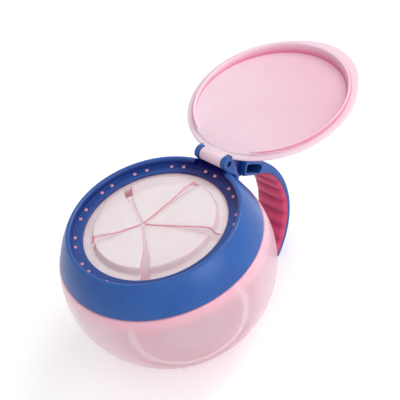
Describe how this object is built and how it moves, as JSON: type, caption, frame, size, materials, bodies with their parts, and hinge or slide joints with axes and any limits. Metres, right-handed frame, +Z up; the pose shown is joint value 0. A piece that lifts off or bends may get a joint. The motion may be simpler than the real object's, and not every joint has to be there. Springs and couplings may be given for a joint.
{
  "type": "toddler snack container",
  "caption": "Ball-shaped snack cup with a screw collar, a soft guard with slit flaps, a hinged snap lid and a side handle with a ribbed grip.",
  "frame": {"origin": "centre of the flat foot, on the surface it stands on", "axes": "+Z up the cup, +Y towards the hinge and the handle, +X along the hinge pin; drawn with the lid open"},
  "size_m": [0.1072, 0.1887, 0.0884],
  "materials": {
    "bowl_plastic": "translucent tinted polypropylene, smooth",
    "seal_silicone": "soft matt silicone",
    "collar_plastic": "smooth polypropylene with a soft gloss",
    "grip_rubber": "soft-touch elastomer, matt",
    "guard_rubber": "translucent soft elastomer, satin",
    "lid_plastic": "opaque pale polypropylene, satin",
    "pin_steel": "plain drawn steel"
  },
  "bodies": {
    "bowl": {"bowl": "bowl_plastic"},
    "neck_seal": {"neck_seal": "seal_silicone"},
    "collar": {"collar": "collar_plastic", "handle_arm": "collar_plastic", "handle_grip": "grip_rubber", "snack_guard": "guard_rubber", "hinge_pin": "pin_steel"},
    "lid": {"lid": "lid_plastic"},
    "flap_1": {"flap_1": "guard_rubber"},
    "flap_2": {"flap_2": "guard_rubber"},
    "flap_3": {"flap_3": "guard_rubber"},
    "flap_4": {"flap_4": "guard_rubber"},
    "flap_5": {"flap_5": "guard_rubber"}
  },
  "joints": [
    {"name": "collar_lift", "type": "slide", "parent": "bowl", "child": "neck_seal", "axis": [0, 0, 1], "range_m": [0, 0.012]},
    {"name": "collar_twist", "type": "hinge", "parent": "neck_seal", "child": "collar", "pos_m": [0, 0, 0.063], "axis": [0, 0, 1], "range_deg": [0, 180]},
    {"name": "lid_hinge", "type": "hinge", "parent": "collar", "child": "lid", "pos_m": [0, 0.04485, 0.08085], "axis": [1, 0, 0], "range_deg": [0, 178]},
    {"name": "flap_1_bend", "type": "hinge", "parent": "collar", "child": "flap_1", "pos_m": [0.02219, -0.00721, 0.0752], "axis": [-0.309, -0.9511, 0], "range_deg": [-6, 60], "stiffness_Nm_per_rad": 0.006},
    {"name": "flap_2_bend", "type": "hinge", "parent": "collar", "child": "flap_2", "pos_m": [0.01372, 0.01888, 0.0752], "axis": [0.809, -0.5878, 0], "range_deg": [-6, 60], "stiffness_Nm_per_rad": 0.006},
    {"name": "flap_3_bend", "type": "hinge", "parent": "collar", "child": "flap_3", "pos_m": [-0.01372, 0.01888, 0.0752], "axis": [0.809, 0.5878, 0], "range_deg": [-6, 60], "stiffness_Nm_per_rad": 0.006},
    {"name": "flap_4_bend", "type": "hinge", "parent": "collar", "child": "flap_4", "pos_m": [-0.02219, -0.00721, 0.0752], "axis": [-0.309, 0.9511, 0], "range_deg": [-6, 60], "stiffness_Nm_per_rad": 0.006},
    {"name": "flap_5_bend", "type": "hinge", "parent": "collar", "child": "flap_5", "pos_m": [0, -0.02334, 0.0752], "axis": [-1, 0, 0], "range_deg": [-6, 60], "stiffness_Nm_per_rad": 0.006}
  ],
  "couplings": [
    {"joint": "collar_lift", "follows": "collar_twist", "m_per_rad": 0.0038197}
  ]
}
